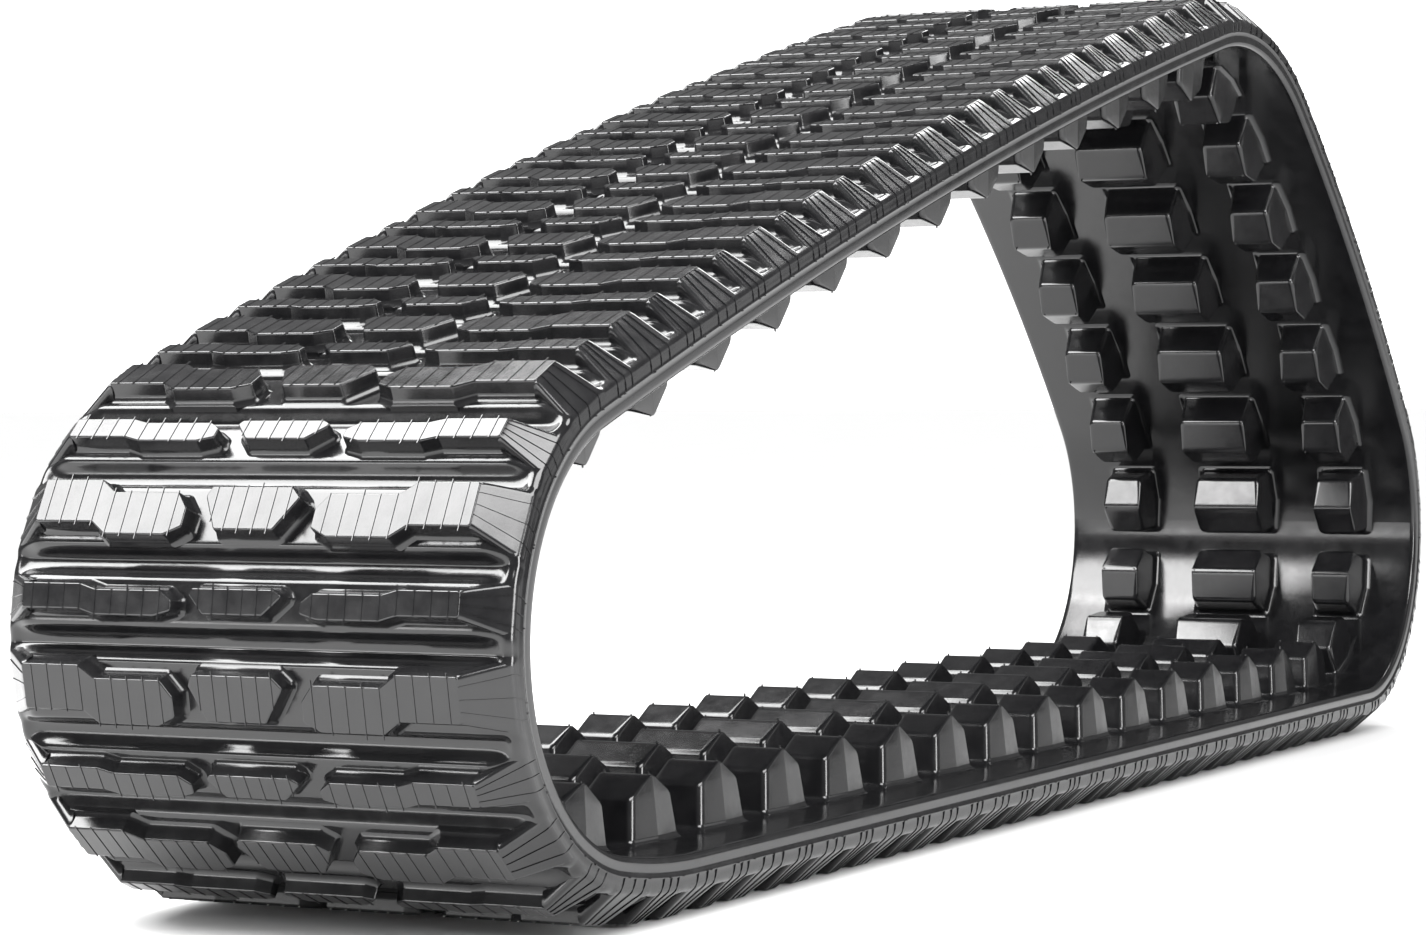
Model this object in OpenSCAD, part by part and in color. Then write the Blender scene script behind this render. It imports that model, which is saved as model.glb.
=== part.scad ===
// Endless rubber track for a small multi-terrain loader, standing free as a closed loop.
// X is the travel direction, Y the width, Z up; the loop stands on its tread at Z = 0.

/* [Belt] */
// Width of the belt (15 in)
belt_w = 381; // [300:1:457]
// Length of one drive pitch along the cords (4 in)
pitch = 101.6; // [95:0.1:110]
// Rubber from the cord line to the wheel side
inner_t = 13; // [11:0.5:16]
// Rubber from the cord line to the floor of the tread valleys
outer_t = 11; // [9.5:0.5:14]
// Bevel along both outer edges of the belt
edge_bevel = 3; // [1:0.5:4]

/* [Loop shape] */
// Radius of the tight bend behind the bottom run
rear_low_r = 168; // [160:1:176]
// Turn of that bend in degrees
rear_low_turn = 130.7; // [130:0.1:131.5]
// Radius of the slightly bulging rear run
rear_run_r = 2087; // [1900:1:2200]
// Turn of the rear run in degrees
rear_run_turn = 12.4; // [12:0.1:13]
// Radius of the bend at the sprocket, the highest point
apex_r = 275; // [260:1:290]
// Turn of that bend in degrees
apex_turn = 49.2; // [48.5:0.1:50]
// Turn of the long, nearly straight top run in degrees
top_turn = 6.5; // [6:0.1:7]
// Radius of the front bend
front_r = 155; // [148:1:162]
// Turn of the front bend in degrees
front_turn = 151.5; // [151:0.1:152.2]
// Radius where the front bend runs out into the bottom run
toe_r = 633; // [560:1:700]
// Distance from the start of the bottom run to the first drive lug
first_lug = 135.1; // [131:0.1:139]

/* [Tread] */
// Height of the tread blocks over the cord line
block_top = 33; // [29:0.5:36]
// Height of the cross ribs over the cord line
rib_top = 20; // [16:0.5:23]
// Length of a long bar's rib along the belt at its foot
rib_foot = 47; // [44:0.5:48]
// Length of that rib at its crest
rib_crest = 42; // [40:0.5:43]
// Length of a short bar's rib along the belt at its foot
short_rib_foot = 38; // [34:0.5:44]
// Length of that rib at its crest
short_rib_crest = 33; // [28:0.5:33]
// Length of a long bar's blocks along the belt
block_len = 31; // [26:0.5:32]
// Offset between the inner and the outer part of its side blocks
block_step = 8.5; // [6:0.5:10]
// Length of a short bar's blocks along the belt
short_block_len = 17.5; // [14:0.5:22]
// Offset between the inner and the outer part of its side blocks
short_block_step = 3.5; // [2:0.5:5]
// Half width of the centre block
centre_block = 36; // [32:0.5:38]
// Inner end of a side block
side_block_in = 48; // [46:0.5:52]
// Place of the step in a side block
side_block_step = 113; // [105:0.5:118]
// Outer end of a side block
side_block_out = 164; // [158:0.5:168]

/* [Drive lugs] */
// Height of a lug's ridge over the wheel side
lug_h = 46; // [42:0.5:48]
// Height of a lug's shoulders
lug_shoulder_h = 33; // [30:0.5:35]
// Half length of a lug at its foot
lug_foot = 35; // [32:0.5:36]
// Half length of a lug at its shoulders
lug_shoulder = 29; // [26:0.5:31]
// Middle of the side lugs from the belt's middle
side_lug_y = 116; // [110:1:122]
// Half width of a side lug at its ridge
side_lug_ridge = 20; // [17:0.5:22]
// Half width of a centre lug at its ridge
centre_lug_ridge = 35; // [31:0.5:37]
// How far a lug's ends lean out from ridge to foot
lug_lean = 5; // [3:0.5:10]
// Angle of the two facets at each end of a lug in degrees
lug_hip = 3; // [1:1:8]

/* [Cords] */
// Number of steel cables side by side
cable_count = 18; // [14:1:19]
// Diameter of a cable
cable_d = 5; // [4:0.1:5.6]
// Distance between cables
cable_gap = 19.6; // [18:0.1:20]
// Thickness of the rubber that carries the cables
gum_t = 8; // [7:0.5:9]
// Thickness of one bias ply
ply_t = 2; // [1.5:0.1:2.5]

/* [Flex seams] */
// Gap between two sections at a flex hinge
seam = 1.6; // [1.2:0.1:2]
// Gap where the loop is left open
open_seam = 5; // [3:0.5:6]

/* [Hidden] */

// Sections of the loop, named by their place in the table of drive pitches in each
BOTTOM_RUN = 0;
REAR_BEND = 1;
REAR_RUN = 2;
APEX = 3;
TOP_REAR = 4;
TOP_FRONT = 5;
FRONT_BEND = 6;
section_pitches = [14, 4, 5, 3, 6, 5, 5];

cover_color = [0.07, 0.07, 0.075];
tread_color = [0.11, 0.11, 0.115];
lug_color = [0.09, 0.09, 0.1];
ply_color = [0.45, 0.38, 0.26];
gum_color = [0.2, 0.2, 0.21];
cable_color = [0.62, 0.64, 0.67];

// Hairline between the straight and curved lengths that a section is put together from
joint_line = 0.02;
// How deep bars and lugs are rooted before their feet are trimmed to the belt
root_depth = 3.5;
root_cut = 18;
half_w = belt_w / 2;
// From the cord line to the outside of the plies
core_half = gum_t / 2 + ply_t;

function total(list, n) = n == 0 ? 0 : list[n - 1] + total(list, n - 1);
pitches = total(section_pitches, len(section_pitches));
loop_length = pitches * pitch;

// The cord line is a chain of tangent stretches. Headings and the two free sizes, the radius of
// the top run and the length of the bottom run, follow from the loop closing on itself.
toe_turn = 360 - rear_low_turn - rear_run_turn - apex_turn - top_turn - front_turn;
turns = [0, rear_low_turn, rear_run_turn, apex_turn, top_turn, front_turn, toe_turn];
TOP = 4;
stretches = len(turns);
headings = [for (i = [0:stretches]) total(turns, i)];
function rise(i) = cos(headings[i]) - cos(headings[i + 1]);
function reach(i) = sin(headings[i + 1]) - sin(headings[i]);
bends = [0, rear_low_r, rear_run_r, apex_r, 0, front_r, toe_r];
top_r = -total([for (i = [0:stretches - 1]) bends[i] * rise(i)], stretches) / rise(TOP);
raw_radii = [for (i = [0:stretches - 1]) i == TOP ? top_r : bends[i]];
raw_bottom = -total([for (i = [0:stretches - 1]) raw_radii[i] * reach(i)], stretches);
raw_lengths = [for (i = [0:stretches - 1]) i == 0 ? raw_bottom : raw_radii[i] * turns[i] * PI / 180];
fit = loop_length / total(raw_lengths, stretches);
radii = fit * raw_radii;
lengths = fit * raw_lengths;
starts = [for (i = [0:stretches]) total(lengths, i)];

function turned(r, h1, h2) = r * [sin(h2) - sin(h1), cos(h1) - cos(h2)];
function knot(i) = i == 0 ? [0, 0]
    : knot(i - 1) + (i == 1 ? [lengths[0], 0] : turned(radii[i - 1], headings[i - 1], headings[i]));
knots = [for (i = [0:stretches]) knot(i)];

function wrapped(s) = s - loop_length * floor(s / loop_length);
function stretch_at(s, i = 0) = i == stretches - 1 || s < starts[i + 1] ? i : stretch_at(s, i + 1);
function heading_in(s, i) = headings[i] + (radii[i] == 0 ? 0 : (s - starts[i]) / radii[i] * 180 / PI);
function heading(s) = let (w = wrapped(s)) heading_in(w, stretch_at(w));
function cord_point(s) = let (w = wrapped(s), i = stretch_at(w))
    knots[i] + (radii[i] == 0 ? [w - starts[i], 0] : turned(radii[i], headings[i], heading_in(w, i)));
// Point at u along the belt and d outward from the cord line's point at s
function beside(s, u, d) = cord_point(s) + u * [cos(heading(s)), sin(heading(s))]
    + d * [sin(heading(s)), -cos(heading(s))];

// Tread bars stand a quarter pitch to either side of each lug, so the valleys between them lie
// under the lugs and under the gaps between lugs, where the belt flexes
bar_pitch = pitch / 2;
bar_count = 2 * pitches;
function bar_place(j) = first_lug + (j - 0.5) * bar_pitch;
function lug_place(j) = first_lug + j * pitch;
// Long and short bars take turns; each section starts with a long one
function is_long(j) = j % 2 == 0;
function block_reach(j) = (is_long(j) ? block_len + block_step : short_block_len + short_block_step) / 2;
bar_xs = [for (j = [0:bar_count - 1], side = [-1, 1]) beside(bar_place(j), side * block_reach(j), block_top)[0]];
middle_x = (min(bar_xs) + max(bar_xs)) / 2;

function section_first(k) = total(section_pitches, k);
function section_start(k) = first_lug + (section_first(k) - 0.5) * pitch
    + (k == TOP_FRONT ? open_seam : seam) / 2;
function section_end(k) = first_lug + (section_first(k + 1) - 0.5) * pitch
    - (k == TOP_REAR ? open_seam : seam) / 2;

module in_frame() translate([-middle_x, 0, block_top]) children();

// Local frame on the cord line: X along the belt, Z towards the inside of the loop
module on_belt(s) {
    p = cord_point(s);
    translate([p[0], 0, p[1]]) rotate([0, -heading(s), 0]) children();
}

// Carries a cross-section, drawn as depth outward by width, along the cord line from s1 to s2
module along_belt(s1, s2) {
    for (lap = [-1:1], i = [0:stretches - 1]) {
        a = max(s1, starts[i] + lap * loop_length + joint_line / 2);
        b = min(s2, starts[i + 1] + lap * loop_length - joint_line / 2);
        if (b - a > joint_line) {
            if (radii[i] == 0)
                on_belt(a) rotate([0, 90, 0]) linear_extrude(b - a) children();
            else
                bend(i, a - lap * loop_length, b - lap * loop_length) children();
        }
    }
}

module bend(i, a, b) {
    centre = knots[i] + radii[i] * [-sin(headings[i]), cos(headings[i])];
    turn = (b - a) / radii[i] * 180 / PI;
    translate([centre[0], 0, centre[1]]) rotate([90, 0, 0]) rotate(heading_in(a, i) - 90)
        rotate_extrude(angle = turn, $fn = 180) translate([radii[i], 0]) children();
}

module layer(k, from, to, width) {
    along_belt(section_start(k), section_end(k)) translate([from, -width / 2]) square([to - from, width]);
}

module cable_row() {
    for (i = [0:cable_count - 1])
        translate([0, (i - (cable_count - 1) / 2) * cable_gap]) circle(d = cable_d, $fn = 24);
}

module outer_section() {
    polygon([
        [core_half, -half_w], [outer_t - edge_bevel, -half_w], [outer_t, -half_w + edge_bevel],
        [outer_t, half_w - edge_bevel], [outer_t - edge_bevel, half_w], [core_half, half_w]
    ]);
}

module inner_section() {
    translate([-inner_t, -half_w]) square([inner_t - core_half, belt_w]);
}

// Rubber on the wheel side, which the wheels run on and the lugs grow from
module inner_cover(k) {
    color(cover_color) in_frame() along_belt(section_start(k), section_end(k)) inner_section();
}

// Two plies, one on each side of the cables, that hold the belt straight
module bias_plies(k) {
    color(ply_color) in_frame() {
        layer(k, -core_half, -gum_t / 2, belt_w - 6);
        layer(k, gum_t / 2, core_half, belt_w - 6);
    }
}

// Bonding rubber between the plies, with a tunnel for each cable
module cord_gum(k) {
    color(gum_color) in_frame() along_belt(section_start(k), section_end(k)) difference() {
        translate([-gum_t / 2, -half_w + 3]) square([gum_t, belt_w - 6]);
        cable_row();
    }
}

// Steel tension cables
module cables(k) {
    color(cable_color) in_frame() along_belt(section_start(k), section_end(k)) cable_row();
}

// Rubber on the ground side, down to the floor of the tread valleys
module outer_cover(k) {
    color(cover_color) in_frame() along_belt(section_start(k), section_end(k)) outer_section();
}

// Cross rib with sloping ends
module rib(foot_len, crest_len) {
    foot = outer_t - root_depth;
    intersection() {
        rotate([90, 0, 0]) linear_extrude(belt_w, center = true) polygon([
            [-foot_len / 2, -foot], [-crest_len / 2, -rib_top], [crest_len / 2, -rib_top], [foot_len / 2, -foot]
        ]);
        rotate([90, 0, 90]) linear_extrude(2 * rib_foot, center = true) polygon([
            [-half_w + 2, -foot], [-half_w + 2, -outer_t - 1], [-side_block_out - 4, -rib_top],
            [side_block_out + 4, -rib_top], [half_w - 2, -outer_t - 1], [half_w - 2, -foot]
        ]);
    }
}

// Stepped block beside the centre block, its outer part set back; side is 1 or -1
module side_block(side, len, step) {
    ahead = (len + step) / 2;
    back = ahead - len;
    corner = 0.2 * len;
    step_half = 6;
    mirror([0, side < 0 ? 1 : 0]) polygon([
        [ahead, side_block_in + 13], [ahead - corner, side_block_in],
        [back + 1.8 * corner, side_block_in], [back, side_block_in + 9],
        [back, side_block_step - step_half], [-ahead, side_block_step + step_half],
        [-ahead, side_block_out], [-back, side_block_out],
        [-back, side_block_step + step_half], [ahead, side_block_step - step_half]
    ]);
}

// Centre block, both of its ends leaning in toward the side ahead
module centre_block_outline(len) {
    end = len / 2;
    corner = 0.25 * len;
    polygon([
        [-end, -centre_block + 8], [-end, centre_block - 3], [-end + corner, centre_block],
        [end, centre_block - 12], [end, -centre_block + 15], [-end + corner, -centre_block]
    ]);
}

// One tread bar: a rib that carries three blocks
module tread_bar(long) {
    len = long ? block_len : short_block_len;
    step = long ? block_step : short_block_step;
    rib(long ? rib_foot : short_rib_foot, long ? rib_crest : short_rib_crest);
    translate([0, 0, -block_top]) linear_extrude(block_top - outer_t + root_depth) {
        side_block(1, len, step);
        side_block(-1, len, step);
        centre_block_outline(len);
    }
}

module tread_bars(k) {
    first = 2 * section_first(k);
    last = 2 * section_first(k + 1) - 1;
    color(tread_color) in_frame() for (j = [first:last]) difference() {
        on_belt(bar_place(j)) tread_bar(is_long(j));
        along_belt(bar_place(j) - bar_pitch / 2, bar_place(j) + bar_pitch / 2)
            translate([core_half - root_cut, -half_w - 1]) square([outer_t - core_half + root_cut, belt_w + 2]);
    }
}

// Long bar whose two leaning sides cut one facet at each end of a lug
module lug_ends(ridge) {
    rotate([90, 0, 90]) linear_extrude(4 * lug_foot, center = true) polygon([
        [-ridge - lug_lean, -root_depth], [-ridge, lug_h], [ridge, lug_h], [ridge + lug_lean, -root_depth]
    ]);
}

// House-shaped lug with two facets at each end, its foot sunk below the wheel side
module lug(ridge) {
    deep = -root_depth;
    intersection() {
        rotate([90, 0, 0]) linear_extrude(3 * ridge + 4 * lug_lean, center = true) polygon([
            [-lug_foot - 0.6, deep], [-lug_shoulder, lug_shoulder_h], [-2, lug_h],
            [2, lug_h], [lug_shoulder, lug_shoulder_h], [lug_foot + 0.6, deep]
        ]);
        rotate(lug_hip) lug_ends(ridge);
        rotate(-lug_hip) lug_ends(ridge);
    }
}

// Lugs of one row in a section, their feet trimmed to the wheel side
module lug_row(k, y, ridge) {
    for (j = [section_first(k):section_first(k + 1) - 1]) difference() {
        on_belt(lug_place(j)) translate([0, y, inner_t]) lug(ridge);
        along_belt(lug_place(j) - pitch / 2, lug_place(j) + pitch / 2)
            translate([-inner_t, -half_w]) square([root_cut, belt_w]);
    }
}

module side_lugs(k) {
    color(lug_color) in_frame() for (side = [-1, 1]) lug_row(k, side * side_lug_y, side_lug_ridge);
}

module centre_lugs(k) {
    color(lug_color) in_frame() lug_row(k, 0, centre_lug_ridge);
}

inner_cover(BOTTOM_RUN);  // bottom_run_inner_cover
bias_plies(BOTTOM_RUN);  // bottom_run_bias_plies
cord_gum(BOTTOM_RUN);  // bottom_run_cord_gum
cables(BOTTOM_RUN);  // bottom_run_cables
outer_cover(BOTTOM_RUN);  // bottom_run_outer_cover
tread_bars(BOTTOM_RUN);  // bottom_run_tread_bars
side_lugs(BOTTOM_RUN);  // bottom_run_side_lugs
centre_lugs(BOTTOM_RUN);  // bottom_run_centre_lugs
inner_cover(REAR_BEND);  // rear_bend_inner_cover
bias_plies(REAR_BEND);  // rear_bend_bias_plies
cord_gum(REAR_BEND);  // rear_bend_cord_gum
cables(REAR_BEND);  // rear_bend_cables
outer_cover(REAR_BEND);  // rear_bend_outer_cover
tread_bars(REAR_BEND);  // rear_bend_tread_bars
side_lugs(REAR_BEND);  // rear_bend_side_lugs
centre_lugs(REAR_BEND);  // rear_bend_centre_lugs
inner_cover(REAR_RUN);  // rear_run_inner_cover
bias_plies(REAR_RUN);  // rear_run_bias_plies
cord_gum(REAR_RUN);  // rear_run_cord_gum
cables(REAR_RUN);  // rear_run_cables
outer_cover(REAR_RUN);  // rear_run_outer_cover
tread_bars(REAR_RUN);  // rear_run_tread_bars
side_lugs(REAR_RUN);  // rear_run_side_lugs
centre_lugs(REAR_RUN);  // rear_run_centre_lugs
inner_cover(APEX);  // apex_inner_cover
bias_plies(APEX);  // apex_bias_plies
cord_gum(APEX);  // apex_cord_gum
cables(APEX);  // apex_cables
outer_cover(APEX);  // apex_outer_cover
tread_bars(APEX);  // apex_tread_bars
side_lugs(APEX);  // apex_side_lugs
centre_lugs(APEX);  // apex_centre_lugs
inner_cover(TOP_REAR);  // top_rear_inner_cover
bias_plies(TOP_REAR);  // top_rear_bias_plies
cord_gum(TOP_REAR);  // top_rear_cord_gum
cables(TOP_REAR);  // top_rear_cables
outer_cover(TOP_REAR);  // top_rear_outer_cover
tread_bars(TOP_REAR);  // top_rear_tread_bars
side_lugs(TOP_REAR);  // top_rear_side_lugs
centre_lugs(TOP_REAR);  // top_rear_centre_lugs
inner_cover(TOP_FRONT);  // top_front_inner_cover
bias_plies(TOP_FRONT);  // top_front_bias_plies
cord_gum(TOP_FRONT);  // top_front_cord_gum
cables(TOP_FRONT);  // top_front_cables
outer_cover(TOP_FRONT);  // top_front_outer_cover
tread_bars(TOP_FRONT);  // top_front_tread_bars
side_lugs(TOP_FRONT);  // top_front_side_lugs
centre_lugs(TOP_FRONT);  // top_front_centre_lugs
inner_cover(FRONT_BEND);  // front_bend_inner_cover
bias_plies(FRONT_BEND);  // front_bend_bias_plies
cord_gum(FRONT_BEND);  // front_bend_cord_gum
cables(FRONT_BEND);  // front_bend_cables
outer_cover(FRONT_BEND);  // front_bend_outer_cover
tread_bars(FRONT_BEND);  // front_bend_tread_bars
side_lugs(FRONT_BEND);  // front_bend_side_lugs
centre_lugs(FRONT_BEND);  // front_bend_centre_lugs
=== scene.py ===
"""Visual model of an endless rubber track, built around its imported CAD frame."""
import math

import bmesh
import bpy
import numpy as np
from mathutils import Matrix, Vector


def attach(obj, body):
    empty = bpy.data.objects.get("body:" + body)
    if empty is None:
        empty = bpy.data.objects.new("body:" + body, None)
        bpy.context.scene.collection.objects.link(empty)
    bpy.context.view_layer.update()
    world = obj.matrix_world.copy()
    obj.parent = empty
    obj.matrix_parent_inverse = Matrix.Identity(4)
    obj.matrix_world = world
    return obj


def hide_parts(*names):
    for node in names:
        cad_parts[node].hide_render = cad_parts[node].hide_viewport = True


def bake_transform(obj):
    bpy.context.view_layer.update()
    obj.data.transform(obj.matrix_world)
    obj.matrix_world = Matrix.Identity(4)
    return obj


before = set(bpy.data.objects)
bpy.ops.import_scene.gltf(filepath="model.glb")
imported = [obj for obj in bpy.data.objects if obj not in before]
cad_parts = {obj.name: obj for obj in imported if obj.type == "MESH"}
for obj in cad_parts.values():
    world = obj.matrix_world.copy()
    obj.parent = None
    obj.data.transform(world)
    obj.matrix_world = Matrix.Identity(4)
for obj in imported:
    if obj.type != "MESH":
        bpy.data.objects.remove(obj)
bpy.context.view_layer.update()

MM = 0.001

# Driving sizes in millimetres, with the same names and values as in the CAD source
pitch, inner_t, outer_t = 101.6, 13.0, 11.0
rear_low_r, rear_low_turn = 168.0, 130.7
rear_run_r, rear_run_turn = 2087.0, 12.4
apex_r, apex_turn = 275.0, 49.2
top_turn = 6.5
front_r, front_turn, toe_r = 155.0, 151.5, 633.0
first_lug = 135.1
block_top, centre_block = 33.0, 36.0
block_len, block_step, short_block_len, short_block_step = 31.0, 8.5, 17.5, 3.5
side_block_in, side_block_step, side_block_out = 48.0, 113.0, 164.0
lug_h, lug_shoulder_h, lug_foot, lug_shoulder = 46.0, 33.0, 35.0, 29.0
side_lug_y, side_lug_ridge, centre_lug_ridge, lug_lean, lug_hip = 116.0, 20.0, 35.0, 5.0, 3.0

SECTIONS = ["bottom_run", "rear_bend", "rear_run", "apex", "top_rear", "top_front", "front_bend"]
PITCHES = [14, 4, 5, 3, 6, 5, 5]
PITCH_COUNT = sum(PITCHES)
BARS = 2 * PITCH_COUNT
HALF_BAR = pitch / 4
# The stretch of the loop whose radius is worked out so that the loop closes
TOP = 4
# The two sections on either side of the valley where the loop is opened
TOP_REAR, TOP_FRONT = 4, 5


# ---------------------------------------------------------------- cord line of the loop
def solve_loop():
    """Headings, radii, starts and end points of the loop's straight and curved stretches."""
    turns = [0, rear_low_turn, rear_run_turn, apex_turn, top_turn, front_turn]
    turns.append(360 - sum(turns))
    heads = np.radians(np.concatenate([[0], np.cumsum(turns)]))
    radii = np.array([0, rear_low_r, rear_run_r, apex_r, 0, front_r, toe_r], float)
    rise = np.cos(heads[:-1]) - np.cos(heads[1:])
    reach = np.sin(heads[1:]) - np.sin(heads[:-1])
    radii[TOP] = -np.dot(radii, rise) / rise[TOP]
    lengths = radii * np.radians(turns)
    lengths[0] = -np.dot(radii, reach)
    fit = PITCH_COUNT * pitch / lengths.sum()
    radii, lengths = radii * fit, lengths * fit
    knots = [np.zeros(2)]
    for i in range(len(radii)):
        a, b = heads[i], heads[i + 1]
        step = np.array([lengths[0], 0.0]) if i == 0 else radii[i] * np.array(
            [math.sin(b) - math.sin(a), math.cos(a) - math.cos(b)])
        knots.append(knots[-1] + step)
    return heads, radii, np.concatenate([[0], np.cumsum(lengths)]), np.array(knots)


HEADS, RADII, STARTS, KNOTS = solve_loop()
LOOP = STARTS[-1]


def cord(s):
    """Point (n, 2) and heading (n) of the cord line at s."""
    s = np.mod(np.asarray(s, float), LOOP)
    i = np.clip(np.searchsorted(STARTS, s, side="right") - 1, 0, len(RADII) - 1)
    flat = RADII[i] == 0
    r = np.where(flat, 1.0, RADII[i])
    run = s - STARTS[i]
    h = HEADS[i] + np.where(flat, 0.0, run / r)
    dx = np.where(flat, run, r * (np.sin(h) - np.sin(HEADS[i])))
    dz = np.where(flat, 0.0, r * (np.cos(HEADS[i]) - np.cos(h)))
    return KNOTS[i] + np.stack([dx, dz], -1), h


def bar_place(j):
    """Place of bar j's middle along the cord line."""
    return first_lug + (np.asarray(j, float) - 0.5) * pitch / 2


def lug_place(j):
    """Place of lug j's middle along the cord line."""
    return first_lug + np.asarray(j, float) * pitch


def flat_xz(s, u, d):
    """Point u along and d outward from the cord line at s, without bending."""
    p, h = cord(s)
    return (p[..., 0] + u * np.cos(h) + d * np.sin(h), p[..., 1] + u * np.sin(h) - d * np.cos(h))


# Long bars (0) and short bars (1) take turns: length of their blocks, and how far those step
BAR_LEN, BAR_STEP = (block_len, short_block_len), (block_step, short_block_step)
REACH = [(a + b) / 2 for a, b in zip(BAR_LEN, BAR_STEP)]


def loop_middle_x():
    """Middle of the loop between its outermost blocks, which is the frame's x = 0."""
    bars = np.arange(BARS)
    reach = np.array(REACH)[bars % 2]
    ends = np.concatenate([flat_xz(bar_place(bars), side * reach, block_top)[0] for side in (-1, 1)])
    return (ends.min() + ends.max()) / 2


MIDDLE_X = loop_middle_x()


def place(s0, u, y, d, w):
    """World points in metres. w 0 keeps the shape straight at s0, w 1 bends it with the belt."""
    s0, u, y, d, w = np.broadcast_arrays(*[np.asarray(v, float) for v in (s0, u, y, d, w)])
    xr, zr = flat_xz(s0, u, d)
    xc, zc = flat_xz(s0 + u, 0.0, d)
    x, z = xr + (xc - xr) * w, zr + (zc - zr) * w
    return np.stack([(x - MIDDLE_X) * MM, y * MM, (z + block_top) * MM], -1)


def smooth(t):
    """Ease from 0 to 1."""
    t = np.clip(t, 0, 1)
    return t * t * (3 - 2 * t)


# ---------------------------------------------------------------- mesh helpers
# Faces that meet at more than this many degrees keep a sharp edge between them
SHARP, SKIN_SHARP = 38.0, 50.0
FACE_WEIGHT = 100


class Pile:
    """Points and faces of many closed shells that become one mesh."""

    def __init__(self):
        self.points, self.faces, self.count = [], [], 0

    def add(self, points, faces):
        points = np.asarray(points).reshape(-1, 3)
        self.points.append(points)
        self.faces += [[i + self.count for i in f] for f in faces]
        self.count += len(points)

    def make(self, name, material, sharp=SHARP, flat_faces=True):
        mesh = bpy.data.meshes.new(name)
        mesh.from_pydata(np.concatenate(self.points).tolist(), [], self.faces)
        bm = bmesh.new()
        bm.from_mesh(mesh)
        bmesh.ops.recalc_face_normals(bm, faces=bm.faces)
        bm.to_mesh(mesh)
        bm.free()
        mesh.shade_smooth()
        mesh.set_sharp_from_angle(angle=math.radians(sharp))
        mesh.materials.append(material)
        obj = bpy.data.objects.new(name, mesh)
        bpy.context.scene.collection.objects.link(obj)
        if flat_faces:
            shade = obj.modifiers.new("flat_faces", "WEIGHTED_NORMAL")
            shade.mode, shade.weight, shade.keep_sharp = "FACE_AREA", FACE_WEIGHT, True
        return obj


def stack_faces(layers, n):
    """Faces of a closed shell from equal rings of n points, one above the other."""
    faces = [[k * n + i, k * n + (i + 1) % n, (k + 1) * n + (i + 1) % n, (k + 1) * n + i]
             for k in range(layers - 1) for i in range(n)]
    return faces + [list(range(n))[::-1], [(layers - 1) * n + i for i in range(n)]]


def joined(rows):
    """Three arrays from a list of points with three numbers each."""
    return tuple(np.array(column, float) for column in zip(*rows))


# A round corner may take up this share of a side of its outline
MOST_OF_SIDE = 0.45


def rounded(outline, radius, steps):
    """Outline with round corners, and its outward normals. Corners run counter-clockwise."""
    p = np.asarray(outline, float)
    if np.sum(p[:, 0] * np.roll(p[:, 1], -1) - np.roll(p[:, 0], -1) * p[:, 1]) < 0:
        p = p[::-1]
    points, normals = [], []
    for i in range(len(p)):
        a, b, c = p[i - 1], p[i], p[(i + 1) % len(p)]
        e1, e2 = (b - a), (c - b)
        l1, l2 = np.hypot(*e1), np.hypot(*e2)
        e1, e2 = e1 / l1, e2 / l2
        n1, n2 = np.array([e1[1], -e1[0]]), np.array([e2[1], -e2[0]])
        turn = math.atan2(e1[0] * e2[1] - e1[1] * e2[0], float(e1 @ e2))
        slope = abs(math.tan(turn / 2))
        back = min(radius * slope, MOST_OF_SIDE * l1, MOST_OF_SIDE * l2)
        r = back / max(slope, 1e-6)
        side = 1.0 if turn > 0 else -1.0
        centre = b - e1 * back - n1 * r * side
        for t in np.linspace(0, 1, steps):
            ang = math.atan2(n1[1], n1[0]) + turn * t
            n = np.array([math.cos(ang), math.sin(ang)])
            points.append(centre + n * r * side)
            normals.append(n)
    return np.array(points), np.array(normals)


def span_at(outline, y):
    """Lowest and highest u of an outline at that y."""
    p = np.asarray(outline, float)
    q = np.roll(p, -1, axis=0)
    hits = []
    for a, b in zip(p, q):
        if (a[1] - y) * (b[1] - y) < 0:
            hits.append(a[0] + (b[0] - a[0]) * (y - a[1]) / (b[1] - a[1]))
    return (min(hits), max(hits)) if len(hits) > 1 else None


# ---------------------------------------------------------------- materials
def node_material(name):
    """New material with its node tree and shader."""
    mat = bpy.data.materials.new(name)
    mat.use_nodes = True
    tree = mat.node_tree
    return mat, tree, tree.nodes["Principled BSDF"]


def add_node(tree, kind, **values):
    """New node with the given settings and input values."""
    node = tree.nodes.new(kind)
    for key, value in values.items():
        if hasattr(node, key):
            setattr(node, key, value)
        else:
            node.inputs[key].default_value = value
    return node


def remap(tree, source, low, high, a, b):
    """Output that runs from a to b where the source runs from low to high."""
    node = tree.nodes.new("ShaderNodeMapRange")
    for key, value in (("From Min", low), ("From Max", high), ("To Min", a), ("To Max", b)):
        node.inputs[key].default_value = value
    tree.links.new(source, node.inputs["Value"])
    return node.outputs["Result"]


def mix_colours(tree, factor, first, second):
    """Output with the first colour where the factor is 0 and the second where it is 1."""
    node = add_node(tree, "ShaderNodeMix", data_type="RGBA")
    for socket in node.inputs:
        if socket.type == "RGBA":
            socket.default_value = (*(first if socket.name == "A" else second), 1)
    tree.links.new(factor, node.inputs["Factor"])
    return next(o for o in node.outputs if o.type == "RGBA")


def add_bump(tree, height, strength, distance, normal):
    """Bump node from a height output, linked on to a normal input."""
    node = add_node(tree, "ShaderNodeBump", Strength=strength, Distance=distance)
    tree.links.new(height, node.inputs["Height"])
    tree.links.new(node.outputs["Normal"], normal)
    return node


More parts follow.
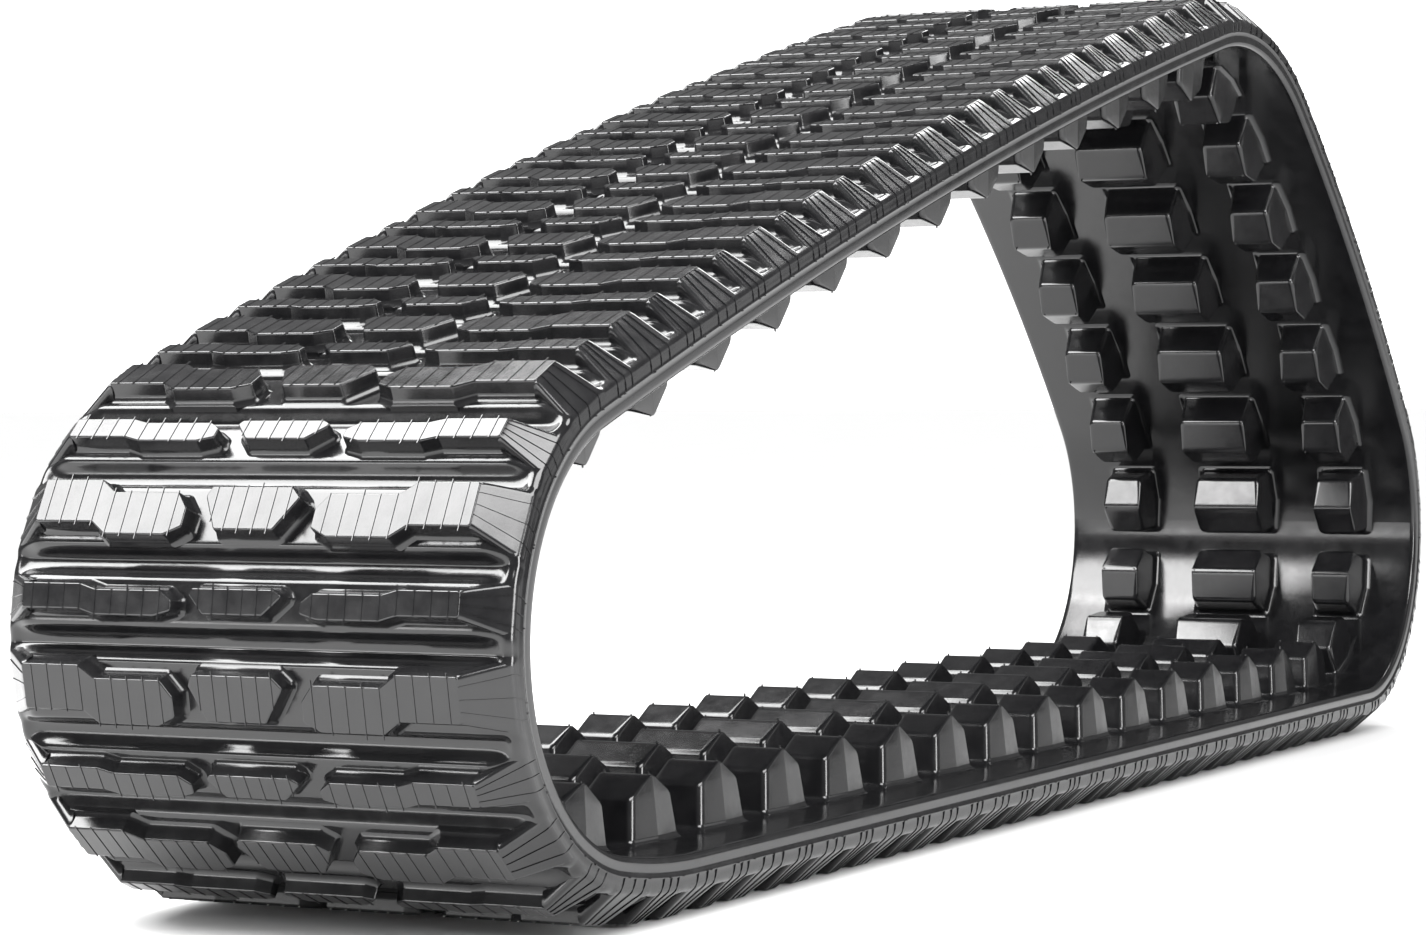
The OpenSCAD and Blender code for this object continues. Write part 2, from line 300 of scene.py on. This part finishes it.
def rubber(name, dark, light, rough, grain):
    """Moulded rubber: cloudy tone and gloss, a fine grain, and faint smears left by the mould.

    rough is the range of its roughness, and grain is the strength of its fine bump.
    """
    mat, tree, bsdf = node_material(name)
    link = tree.links.new
    coords = add_node(tree, "ShaderNodeTexCoord").outputs["Object"]
    cloud = add_node(tree, "ShaderNodeTexNoise", Scale=9.0, Detail=5.0, Roughness=0.6)
    fine = add_node(tree, "ShaderNodeTexNoise", Scale=420.0, Detail=3.0, Roughness=0.55)
    smear = add_node(tree, "ShaderNodeTexNoise", Scale=60.0, Detail=4.0, Roughness=0.65)
    for node in (cloud, fine, smear):
        link(coords, node.inputs["Vector"])
    tone = remap(tree, smear.outputs["Fac"], 0.35, 0.7, 0.0, 1.0)
    link(mix_colours(tree, tone, dark, light), bsdf.inputs["Base Color"])
    add = add_node(tree, "ShaderNodeMath", operation="ADD")
    link(remap(tree, cloud.outputs["Fac"], 0.3, 0.7, *rough), add.inputs[0])
    link(remap(tree, smear.outputs["Fac"], 0.3, 0.7, -0.03, 0.05), add.inputs[1])
    link(add.outputs[0], bsdf.inputs["Roughness"])
    bump = add_bump(tree, fine.outputs["Fac"], grain, 0.0004, bsdf.inputs["Normal"])
    add_bump(tree, smear.outputs["Fac"], 0.02, 0.0008, bump.inputs["Normal"])
    return mat


def woven(name, warp, weft):
    """Textile cord ply: parallel cords crossing at a bias angle under a thin rubber coat."""
    mat, tree, bsdf = node_material(name)
    link = tree.links.new
    coords = add_node(tree, "ShaderNodeTexCoord").outputs["Object"]
    turn = add_node(tree, "ShaderNodeMapping")
    turn.inputs["Rotation"].default_value = (0.0, 0.0, math.radians(32))
    link(coords, turn.inputs["Vector"])
    cords = add_node(tree, "ShaderNodeTexWave", Scale=160.0, Distortion=0.6, Detail=2.0)
    link(turn.outputs["Vector"], cords.inputs["Vector"])
    link(mix_colours(tree, cords.outputs["Fac"], warp, weft), bsdf.inputs["Base Color"])
    link(remap(tree, cords.outputs["Fac"], 0.0, 1.0, 0.6, 0.85), bsdf.inputs["Roughness"])
    add_bump(tree, cords.outputs["Fac"], 0.6, 0.0006, bsdf.inputs["Normal"])
    return mat


def stranded_steel(name, brass, steel):
    """Brass-washed steel cable: helical strands with a slight colour change from wire to wire."""
    mat, tree, bsdf = node_material(name)
    link = tree.links.new
    coords = add_node(tree, "ShaderNodeTexCoord").outputs["Object"]
    turn = add_node(tree, "ShaderNodeMapping")
    turn.inputs["Rotation"].default_value = (math.radians(25), math.radians(25), math.radians(20))
    link(coords, turn.inputs["Vector"])
    wires = add_node(tree, "ShaderNodeTexWave", Scale=420.0, Distortion=0.2)
    tone = add_node(tree, "ShaderNodeTexNoise", Scale=150.0, Detail=3.0)
    link(turn.outputs["Vector"], wires.inputs["Vector"])
    link(coords, tone.inputs["Vector"])
    link(mix_colours(tree, tone.outputs["Fac"], brass, steel), bsdf.inputs["Base Color"])
    link(remap(tree, wires.outputs["Fac"], 0.0, 1.0, 0.28, 0.5), bsdf.inputs["Roughness"])
    bsdf.inputs["Metallic"].default_value = 1.0
    add_bump(tree, wires.outputs["Fac"], 0.7, 0.0005, bsdf.inputs["Normal"])
    return mat


DARK, LIGHT = (0.004, 0.004, 0.0044), (0.007, 0.007, 0.0075)
COVER = rubber("cover_rubber_gloss", DARK, LIGHT, (0.13, 0.20), 0.05)
TREAD = rubber("tread_rubber_satin", (0.005, 0.005, 0.0055), (0.008, 0.008, 0.0085), (0.16, 0.23), 0.06)
LUG = rubber("lug_rubber_gloss", DARK, LIGHT, (0.14, 0.22), 0.05)
GUM = rubber("gum_rubber_matt", (0.020, 0.020, 0.020), (0.035, 0.034, 0.033), (0.45, 0.6), 0.3)
PLY = woven("ply_fabric_cord", (0.20, 0.15, 0.09), (0.34, 0.27, 0.17))
STEEL = stranded_steel("steel_cable_strands", (0.55, 0.50, 0.38), (0.62, 0.63, 0.64))


# ---------------------------------------------------------------- belt skin
# Share of a rib's height, from the middle of its bar to the valley
RISE = [1, 1, 1, 0.99, 0.95, 0.86, 0.72, 0.54, 0.36, 0.20, 0.08, 0.02, 0]
# How far from the middle each share lies, on a long bar and on a short one
FLANKS = [[0, 9, 16.5, 18.4, 19.7, 20.7, 21.5, 22.2, 22.9, 23.6, 24.2, 24.8, HALF_BAR],
          [0, 6, 11.5, 13.4, 14.8, 15.9, 16.8, 17.6, 18.5, 19.6, 20.9, 22.6, HALF_BAR]]
ROW_U = np.array([[-u for u in f[:0:-1]] + f[:-1] for f in FLANKS])
ROW_SHARE = np.array(RISE[:0:-1] + RISE[:-1])
PER_BAR = len(ROW_SHARE)
# How far from its middle a bar keeps its shape in the bends
HOLD = np.array([20.5, 15.5])
# Half of the outer face: place across, height on the rib, height in the valley
FACE = [(0, 20, 11), (45, 20, 11), (90, 20, 11), (130, 20, 11), (152, 20, 11), (160, 20, 11),
        (166, 20, 11), (169, 19.7, 11), (172, 18.6, 11), (175, 17.2, 11), (178, 15.8, 11.2),
        (180.5, 14.7, 11.7), (182.5, 13.9, 12.5), (184.3, 13.3, 12.9), (186, 12.6, 12.5),
        (187.6, 11.6, 11.6), (188.8, 10.3, 10.3), (189.7, 8.4, 8.4)]
# Side wall with its parting line, round lower edge and wheel side: place across and depth
WALL = [(190.1, 5.0), (190.2, 1.5), (190.8, 0.9), (190.8, 0.2), (190.2, -0.4), (190.1, -4.0),
        (190.0, -8.5), (189.6, -10.6), (188.6, -12.2), (186.8, -12.9), (184.0, -inner_t),
        (170, -inner_t), (130, -inner_t), (85, -inner_t), (40, -inner_t)]
HALF_RING = [(y, a, b) for y, a, b in FACE] + [(y, d, d) for y, d in WALL]
RING = HALF_RING + [(0, -inner_t, -inner_t)] + [(-y, a, b) for y, a, b in HALF_RING[:0:-1]]
RING_Y, RING_TOP, RING_LOW = (np.array(c, float) for c in zip(*RING))


def bend_share(u, d, hold):
    """The rib keeps its shape in the bends; the valleys and the wheel side take up the bend."""
    return np.maximum(smooth((np.abs(u) - hold) / (HALF_BAR - hold)), smooth(1 - d / outer_t))


def skin_rows(first, last):
    """Rings of rows first..last, counted along the whole loop."""
    k = np.arange(first, last + 1)
    bar, row = np.divmod(k, PER_BAR)
    u = ROW_U[bar % 2, row][:, None]
    d = RING_LOW[None, :] + ROW_SHARE[row][:, None] * (RING_TOP - RING_LOW)[None, :]
    hold = HOLD[bar % 2][:, None]
    return place(bar_place(bar)[:, None], u, RING_Y[None, :], d, bend_share(u, d, hold))


def section_first(k):
    """Number of drive pitches before section k."""
    return sum(PITCHES[:k])


def middle_row(k):
    """Row under the middle of the bar just past a section's middle."""
    valleys = 2 * section_first(k) + PITCHES[k]
    return valleys * PER_BAR + PER_BAR // 2


def seam_row(k):
    """Row in the valley where section k starts."""
    return 2 * section_first(k) * PER_BAR


def skin_piece(name, first, last):
    """Closed shell of the covers from one row to another."""
    pile = Pile()
    rings = skin_rows(first, last)
    pile.add(rings, stack_faces(len(rings), len(RING)))
    obj = pile.make(name, COVER, sharp=SKIN_SHARP, flat_faces=False)
    return obj


# Each hinge, and the numbers of the two sections it joins
HINGES = [("heel", 0, 1), ("rear_low", 1, 2), ("rear_high", 2, 3), ("crown", 3, 4),
          ("brow", 5, 6), ("toe", 6, 0)]
TURN = BARS * PER_BAR
for hinge, a, b in HINGES:
    start, stop = middle_row(a), middle_row(b) + (TURN if b < a else 0)
    piece = skin_piece(f"belt_skin_{hinge}", start, stop)
    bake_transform(piece)
    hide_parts(*[f"{SECTIONS[k]}_{c}_cover" for k in (a, b) for c in ("inner", "outer")])
for k, first, last in ((TOP_REAR, middle_row(TOP_REAR), seam_row(TOP_FRONT)),
                       (TOP_FRONT, seam_row(TOP_FRONT), middle_row(TOP_FRONT))):
    piece = skin_piece(f"belt_skin_{SECTIONS[k]}", first, last)
    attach(piece, SECTIONS[k])
    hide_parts(f"{SECTIONS[k]}_inner_cover", f"{SECTIONS[k]}_outer_cover")


# ---------------------------------------------------------------- tread blocks
# Half the width across which a side block steps
STEP_HALF = 6.0


def side_outline(kind, side):
    """Outline of the stepped block on one side of a bar."""
    ahead, back, half = REACH[kind], REACH[kind] - BAR_LEN[kind], STEP_HALF
    corner = 0.2 * BAR_LEN[kind]
    pts = [(ahead, side_block_in + 13), (ahead - corner, side_block_in),
           (back + 1.8 * corner, side_block_in), (back, side_block_in + 9),
           (back, side_block_step - half), (-ahead, side_block_step + half),
           (-ahead, side_block_out), (-back, side_block_out),
           (-back, side_block_step + half), (ahead, side_block_step - half)]
    return [(u, y * side) for u, y in pts]


def centre_outline(kind):
    """Outline of the six-sided block in the middle of a bar."""
    end, c, corner = BAR_LEN[kind] / 2, centre_block, 0.25 * BAR_LEN[kind]
    return [(-end, -c + 8), (-end, c - 3), (-end + corner, c),
            (end, c - 12), (end, -c + 15), (-end + corner, -c)]


# Depth outward and how far the outline grows or shrinks there
BLOCK_RISE = [(11.6, 4.6), (19.4, 4.5), (19.8, 3.8), (20.5, 2.8), (21.5, 1.85), (22.9, 1.0),
              (24.8, 0.4), (31.4, -0.25), (32.3, -0.45), (32.8, -0.8), (block_top, -1.4)]
# Radius and points of a block's corners, and how far past a bar's stiff middle its foot may reach
BLOCK_CORNER, CORNER_POINTS, FOOT_PAST = 2.4, 3, 1.6


def block_shape(outline, limit):
    """Block with a round foot that ends at the rib's shoulder."""
    pts, nrm = rounded(outline, BLOCK_CORNER, CORNER_POINTS)
    u = np.clip([pts[:, 0] + nrm[:, 0] * g for _, g in BLOCK_RISE], -limit, limit)
    y = np.array([pts[:, 1] + nrm[:, 1] * g for _, g in BLOCK_RISE])
    d = np.array([[depth] * len(pts) for depth, _ in BLOCK_RISE])
    return (u.ravel(), y.ravel(), d.ravel()), stack_faces(len(BLOCK_RISE), len(pts))


# A vent line's cross-section, how far it runs past the block's edges, and the gaps between lines
LINE_SECTION = ((-0.5, 32.7), (0.5, 32.7), (0.28, 33.45), (-0.28, 33.45))
LINE_PAST, LINE_SHORT = (-1.2, 3.2), -0.8
CENTRE_GAP, SIDE_GAP = 11.5, 11.8


def vent_lines(outline, ys, seed):
    """Thin raised lines left by the mould's vents, some standing past the block's edge."""
    rng = np.random.default_rng(seed)
    shapes = []
    for y in ys:
        span = span_at(outline, y)
        if span is None:
            continue
        past = [max(v, LINE_SHORT) for v in rng.uniform(*LINE_PAST, 2)]
        ends = (span[0] - past[0], span[1] + past[1])
        rows = [(u, y + dy, d) for u in ends for dy, d in LINE_SECTION]
        shapes.append((joined(rows), stack_faces(2, len(LINE_SECTION))))
    return shapes


def line_places(start, stop, gap):
    """Evenly spread places across, about one gap apart."""
    count = int(round((stop - start) / gap))
    return [start + (stop - start) * (i + 0.5) / count for i in range(count)]


def bar_blocks(kind):
    """The three blocks of a bar."""
    outlines = (centre_outline(kind), side_outline(kind, 1), side_outline(kind, -1))
    return [block_shape(o, HOLD[kind] + FOOT_PAST) for o in outlines]


BLOCK_SHAPES = [bar_blocks(kind) for kind in (0, 1)]


def bar_lines(j):
    """The vent lines of bar j."""
    kind = j % 2
    ys = line_places(-centre_block + 3, centre_block - 3, CENTRE_GAP)
    shapes = vent_lines(centre_outline(kind), ys, 10 * j)
    for side in (1, -1):
        ys = [side * y for y in line_places(side_block_in + 3, side_block_out - 2, SIDE_GAP)]
        shapes += vent_lines(side_outline(kind, side), ys, 10 * j + 4 + side)
    return shapes


# Ramp from a block's outer end to the belt's edge: place across, height, and how far it has widened
RAMP = [(161.5, 31.6, 0.0), (163.4, 32.3, 0.02), (165.4, 31.0, 0.07), (169.5, 27.4, 0.25),
        (174.5, 23.0, 0.45), (179.5, 18.6, 0.66), (184.5, 14.2, 0.86), (187.7, 11.5, 0.97),
        (189.2, 9.9, 1.0), (189.9, 7.4, 0.98)]
# Both ends of a ramp along the bar, at the block and at the belt's edge
RAMP_ENDS = [((-19.2, 10.7), (-22.9, 20.8)), ((-10.1, 6.7), (-16.8, 15.6))]
# Rounded flank of a ramp: how far in from its end and how far below its top
RAMP_EDGE = [(-2.6, 9.0), (-1.5, 4.0), (-0.7, 1.7), (0.2, 0.6), (1.4, 0.12), (2.6, 0.0)]
# Depth of a ramp's foot, how far the foot is drawn in, and the least height of its flank
RAMP_FOOT, FOOT_IN, FLANK_LEAST = 4.0, 1.0, 0.5
# Thin ribs on a ramp: share of its width where each starts and ends, and how far that may wander
FAN = [(0.22, 0.17), (0.48, 0.49), (0.74, 0.81)]
FAN_WANDER = 0.03
# A thin rib's cross-section: along the belt, and out of the ramp
FAN_SECTION = ((-0.5, -1.4), (0.5, -1.4), (0.26, 0.85), (-0.26, 0.85))
# Shares of that height that go across and outward on the ramp
FAN_SLANT = (0.5, 0.5)
# Its way on down the side wall: along from the ramp's end, across, depth, and the same two shares
FAN_WALL = [(1.4, 190.15, 5.5, 0.7, 0.0), (2.8, 190.25, 0.7, 0.7, 0.0)]
# Ramps and their ribs bend with the belt below this depth, and stay stiff above it
STIFF_DEPTH = 12
# Stubs on the parting line: how many, how far from a bar's middle, depth, base and tip
STUBS, STUB_REACH, STUB_DEPTH, STUB_BASE, STUB_TIP = 2, 20, 0.5, 190.0, 192.0
STUB_SECTION = [(-0.7, -0.6), (0.7, -0.6), (0.7, 0.7), (-0.7, 0.7)]
STUB_TAPER = 0.4
FAN_SEED, STUB_SEED, LUG_SEED = 5000, 7000, 9000


def ramp_rows(kind):
    """Place across, height and both ends along the bar of each row of a ramp."""
    (lo, hi), (edge_lo, edge_hi) = RAMP_ENDS[kind]
    return [(y, top, lo + (edge_lo - lo) * t, hi + (edge_hi - hi) * t) for y, top, t in RAMP]


def ramp_shape(kind, side):
    """Ramp that widens from a block's outer end to the belt's edge."""
    rows = []
    for y, top, lo, hi in ramp_rows(kind):
        flanks = [(lo + e, top - drop) for e, drop in RAMP_EDGE]
        flanks += [(hi - e, top - drop) for e, drop in RAMP_EDGE[::-1]]
        ring = [(u, max(d, RAMP_FOOT + FLANK_LEAST)) for u, d in flanks]
        ring = [(lo + FOOT_IN, RAMP_FOOT)] + ring + [(hi - FOOT_IN, RAMP_FOOT)]
        rows += [(u, side * y, d) for u, d in ring]
    return joined(rows), stack_faces(len(RAMP), 2 * len(RAMP_EDGE) + 2)


def fan_ribs(j, side):
    """Thin ribs from the block's end down the ramp and on over the edge to the parting line."""
    rng = np.random.default_rng(FAN_SEED + 2 * j + (side > 0))
    shapes = []
    for start, end in FAN:
        shift = rng.uniform(-FAN_WANDER, FAN_WANDER)
        path = []
        for i, (y, top, lo, hi) in enumerate(ramp_rows(j % 2)[1:-1]):
            share = start + shift + (end - start) * i / (len(RAMP) - 3)
            path.append((lo + (hi - lo) * share, y, top, *FAN_SLANT))
        edge_u = path[-1][0]
        path += [(edge_u + du, *rest) for du, *rest in FAN_WALL]
        rows = [(u + du, side * (y + out_y * lift), d + out_d * lift)
                for u, y, d, out_y, out_d in path for du, lift in FAN_SECTION]
        shapes.append((joined(rows), stack_faces(len(path), len(FAN_SECTION))))
    return shapes


RAMP_SHAPES = {(kind, side): ramp_shape(kind, side) for kind in (0, 1) for side in (-1, 1)}


def edge_stubs(j, side):
    """Small stubs on the parting line where the mould's halves met."""
    rng = np.random.default_rng(STUB_SEED + 2 * j + (side > 0))
    shapes = []
    for u in rng.uniform(-STUB_REACH, STUB_REACH, STUBS):
        rows = [(u + size * a, side * y, STUB_DEPTH + size * b)
                for y, size in ((STUB_BASE, 1.0), (STUB_TIP, STUB_TAPER)) for a, b in STUB_SECTION]
        shapes.append((joined(rows), stack_faces(2, len(STUB_SECTION))))
    return shapes


for k, section in enumerate(SECTIONS):
    blocks, lines, fans = Pile(), Pile(), Pile()
    for j in range(2 * section_first(k), 2 * section_first(k + 1)):
        s = bar_place(j)
        hold = HOLD[j % 2]
        for (u, y, d), faces in BLOCK_SHAPES[j % 2]:
            blocks.add(place(s, u, y, d, 0.0), faces)
        for (u, y, d), faces in bar_lines(j):
            lines.add(place(s, u, y, d, 0.0), faces)
        for side in (-1, 1):
            shapes = [(blocks, RAMP_SHAPES[j % 2, side])]
            shapes += [(fans, shape) for shape in fan_ribs(j, side) + edge_stubs(j, side)]
            for pile, ((u, y, d), faces) in shapes:
                bend = bend_share(u, d, hold) * (d < STIFF_DEPTH)
                pile.add(place(s, u, y, d, bend), faces)
    for pile, name, material, slot in ((blocks, "tread_blocks", TREAD, "tread_rubber"),
                                       (lines, "vent_lines", TREAD, "tread_rubber"),
                                       (fans, "shoulder_ribs", COVER, "cover_rubber")):
        obj = pile.make(f"{section}_{name}", material)
        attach(obj, section)
        if pile is blocks:
            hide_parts(f"{section}_tread_bars")


# ---------------------------------------------------------------- drive lugs
# A lug's foot: depth it is sunk into the belt, and its fillet's length and height
LUG_SINK, FILLET_LOW, FILLET_TOP = -3.0, 4.2, 5.0
# Its shoulder's round edge begins EDGE below the shoulder and ends EDGE_IN along the roof
EDGE, EDGE_IN = 3.2, 3.4
# Half the length of its ridge, without and with the round part beside it
RIDGE_HALF, RIDGE_ROUND = 2, 5.2
# Its ends' lean begins LEAN_BELOW under its foot, and they draw in by a share of its last height
LEAN_BELOW, LAST_HEIGHT, LAST_SHARE = 3.5, 1.2, 0.6
# Round corners between its ends and sides: radius, largest share of its half length, points
LUG_CORNER, LUG_CORNER_SHARE, LUG_CORNER_POINTS = 5.5, 0.8, 5
# Height up to which it bends with the belt
LUG_BEND = 14.0
# Stubs on its ridge: distance from the ridge's ends, depth they start at, and their heights
TOP_STUB_IN, TOP_STUB_SINK, TOP_STUB_HEIGHTS = 3, 0.4, (1.2, 3.0)


def curve(p0, p1, p2, n):
    """Points on a quadratic curve."""
    t = np.linspace(0, 1, n)[:, None]
    return (1 - t) ** 2 * np.array(p0) + 2 * t * (1 - t) * np.array(p1) + t ** 2 * np.array(p2)


def lug_profile():
    """Half length and height of a lug from its foot to its ridge."""
    def wall(z):
        """Half length of the CAD's flat wall at that height, a hair wider at the foot."""
        return lug_foot + 0.2 + (lug_shoulder - lug_foot - 0.2) * z / lug_shoulder_h

    foot = [(wall(0) + 5.0, LUG_SINK), (wall(0) + 4.6, 0.0)]
    fillet = curve((wall(0) + FILLET_LOW, 0.15), (wall(0) + 0.6, 0.5), (wall(5), FILLET_TOP), 5)
    slope = (lug_h - lug_shoulder_h) / (lug_shoulder - RIDGE_HALF)
    edge = curve((wall(lug_shoulder_h - EDGE), lug_shoulder_h - EDGE), (lug_shoulder, lug_shoulder_h),
                 (lug_shoulder - EDGE_IN, lug_shoulder_h + EDGE_IN * slope), 5)
    ridge = curve((RIDGE_ROUND, lug_h - (RIDGE_ROUND - RIDGE_HALF) * slope), (2.2, lug_h), (0.5, lug_h), 4)
    return np.concatenate([foot, fillet, edge, ridge])


def lug_shape(ridge):
    """Layered shell with two facets at each end, round edges and a fillet at the foot."""
    hip = math.radians(lug_hip)
    rows = []
    profile = lug_profile()
    for length, z in profile:
        flare = max(length - lug_foot, 0.0) if z < FILLET_TOP else 0.0
        draw_in = LAST_SHARE * max(z - lug_h + LAST_HEIGHT, 0)
        reach = ridge + lug_lean * (lug_h - z) / (lug_h + LEAN_BELOW) + flare - draw_in
        tip, side = reach / math.cos(hip), (reach - length * math.sin(hip)) / math.cos(hip)
        hexagon = [(length, -side), (length, side), (0, tip),
                   (-length, side), (-length, -side), (0, -tip)]
        corner = min(LUG_CORNER, LUG_CORNER_SHARE * length)
        pts, _ = rounded(hexagon, corner, LUG_CORNER_POINTS)
        rows += [(u, y, z) for u, y in pts]
    return joined(rows), stack_faces(len(profile), len(pts))


def top_stub(y, height, radius=0.8, sides=6):
    """Small stub on a lug's ridge, left where rubber filled a vent."""
    base = lug_h - TOP_STUB_SINK
    rings = ((-1.0, 1.0), (0.25, 1.0), (0.85, 0.8), (1.0, 0.35))
    angles = np.arange(sides) * 2 * math.pi / sides
    rows = [(radius * r * math.cos(a), y + radius * r * math.sin(a), base + height * level)
            for level, r in rings for a in angles]
    return joined(rows), stack_faces(len(rings), sides)


def add_lug(pile, j, y0, ridge, shape):
    """Add lug j and its two stubs, with the lug's foot bent along the belt."""
    rng = np.random.default_rng(LUG_SEED + 7 * j + int(abs(y0)) + (y0 > 0))
    stubs = [top_stub(y, rng.uniform(*TOP_STUB_HEIGHTS)) for y in (TOP_STUB_IN - ridge, ridge - TOP_STUB_IN)]
    for (u, y, z), faces in [shape] + stubs:
        pile.add(place(lug_place(j), u, y + y0, -(inner_t + z), smooth(1 - z / LUG_BEND)), faces)


CENTRE_LUG, SIDE_LUG = lug_shape(centre_lug_ridge), lug_shape(side_lug_ridge)
for k, section in enumerate(SECTIONS):
    sides, centres = Pile(), Pile()
    for j in range(section_first(k), section_first(k + 1)):
        add_lug(centres, j, 0.0, centre_lug_ridge, CENTRE_LUG)
        for side in (-1, 1):
            add_lug(sides, j, side * side_lug_y, side_lug_ridge, SIDE_LUG)
    for pile, kind in ((sides, "side_lugs"), (centres, "centre_lugs")):
        obj = pile.make(f"{section}_moulded_{kind}", LUG)
        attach(obj, section)
        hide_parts(f"{section}_{kind}")

# ---------------------------------------------------------------- carried-over CAD nodes
for name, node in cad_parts.items():
    for ending, material in (("bias_plies", PLY), ("cord_gum", GUM), ("cables", STEEL)):
        if name.endswith(ending):
            node.data.materials.clear()
            node.data.materials.append(material)


# ---------------------------------------------------------------- studio
# Half the floor's side and its height, in metres, and its grey
FLOOR_HALF, FLOOR_Z, PAPER = 40.0, -0.0006, 0.6


def floor_material():
    """Matt pale paper with a slightly uneven gloss."""
    mat, tree, bsdf = node_material("studio_floor")
    coords = add_node(tree, "ShaderNodeTexCoord").outputs["Object"]
    noise = add_node(tree, "ShaderNodeTexNoise", Scale=3.0, Detail=2.0)
    tree.links.new(coords, noise.inputs["Vector"])
    tree.links.new(remap(tree, noise.outputs["Fac"], 0.3, 0.7, 0.62, 0.7), bsdf.inputs["Roughness"])
    bsdf.inputs["Base Color"].default_value = (PAPER, PAPER, PAPER, 1)
    bsdf.inputs["Specular IOR Level"].default_value = 0.2
    return mat


floor_mesh = bpy.data.meshes.new("studio_floor")
corners = [(x * FLOOR_HALF, y * FLOOR_HALF, FLOOR_Z) for x, y in ((-1, -1), (1, -1), (1, 1), (-1, 1))]
floor_mesh.from_pydata(corners, [], [(0, 1, 2, 3)])
floor_mesh.materials.append(floor_material())
floor = bpy.data.objects.new("studio_floor", floor_mesh)
bpy.context.scene.collection.objects.link(floor)


def softbox(name, at, aim, width, height, power):
    """Rectangular area light at one point, aimed at another."""
    data = bpy.data.lights.new(name, "AREA")
    data.shape, data.size, data.size_y, data.energy = "RECTANGLE", width, height, power
    obj = bpy.data.objects.new(name, data)
    bpy.context.scene.collection.objects.link(obj)
    obj.location = at
    obj.rotation_euler = (Vector(aim) - Vector(at)).to_track_quat("-Z", "Y").to_euler()


# Place, aim, width and height in metres, and power in watts
softbox("softbox_front_top", (-1.70, 1.435, 2.30), (-0.93, 0.0, 0.27), 2.05, 1.7, 205)
softbox("softbox_rear_top", (2.6, 0.15, 2.9), (0.0, -0.1, 0.5), 1.2, 1.0, 60)
softbox("softbox_shoulder", (-1.37, -1.45, 1.85), (-0.93, -0.17, 0.27), 1.7, 1.2, 85)
softbox("softbox_side", (1.9, -2.6, 1.1), (0.2, 0.0, 0.25), 2.2, 1.2, 8)
softbox("softbox_overhead", (0.15, 0.95, 2.55), (0.0, 0.0, 0.55), 1.8, 0.7, 60)
softbox("softbox_low_side", (-1.0, -2.2, 0.6), (-0.3, -0.13, 0.08), 0.7, 0.9, 34)
softbox("softbox_inside", (-2.8, 1.15, 0.27), (0.0, 0.0, 0.1), 0.9, 0.3, 8)


def studio_world(reflected, direct):
    """White world that is weaker in reflections than where it is seen or lights the floor."""
    world = bpy.data.worlds.new("studio_world")
    world.use_nodes = True
    tree = world.node_tree
    link = tree.links.new
    mixer = add_node(tree, "ShaderNodeMixShader")
    sides = (tree.nodes["Background"], add_node(tree, "ShaderNodeBackground"))
    for socket, side, strength in zip((1, 2), sides, (reflected, direct)):
        side.inputs["Color"].default_value = (1.0, 1.0, 1.0, 1)
        side.inputs["Strength"].default_value = strength
        link(side.outputs["Background"], mixer.inputs[socket])
    path = add_node(tree, "ShaderNodeLightPath")
    seen = add_node(tree, "ShaderNodeMath", operation="MAXIMUM")
    link(path.outputs["Is Camera Ray"], seen.inputs[0])
    link(path.outputs["Is Diffuse Ray"], seen.inputs[1])
    link(seen.outputs[0], mixer.inputs["Fac"])
    link(mixer.outputs["Shader"], tree.nodes["World Output"].inputs["Surface"])
    bpy.context.scene.world = world


studio_world(0.22, 1.9)
bpy.context.scene.view_settings.view_transform = "Standard"


# ---------------------------------------------------------------- camera
def aim_camera(location, yaw, pitch_up, roll, lens):
    """Camera turned by yaw from +X toward +Y, pitched up, then rolled."""
    y, p, r = (math.radians(v) for v in (yaw, pitch_up, roll))
    ahead = Vector((math.cos(p) * math.cos(y), math.cos(p) * math.sin(y), math.sin(p)))
    right = ahead.cross(Vector((0, 0, 1))).normalized()
    up = right.cross(ahead)
    right, up = math.cos(r) * right + math.sin(r) * up, -math.sin(r) * right + math.cos(r) * up
    data = bpy.data.cameras.new("camera")
    data.lens, data.sensor_width, data.sensor_fit = lens, 36.0, "HORIZONTAL"
    data.clip_start, data.clip_end = 0.05, 200.0
    cam = bpy.data.objects.new("camera", data)
    bpy.context.scene.collection.objects.link(cam)
    turn = Matrix((right, up, -ahead)).transposed().to_4x4()
    turn.translation = Vector(location)
    cam.matrix_world = turn
    bpy.context.scene.camera = cam


# Place in metres, angles in degrees and focal length in millimetres
aim_camera((-2.9825, -1.3694, 0.3587), 27.09, -1.274, -0.411, 97.74)

bpy.context.view_layer.update()
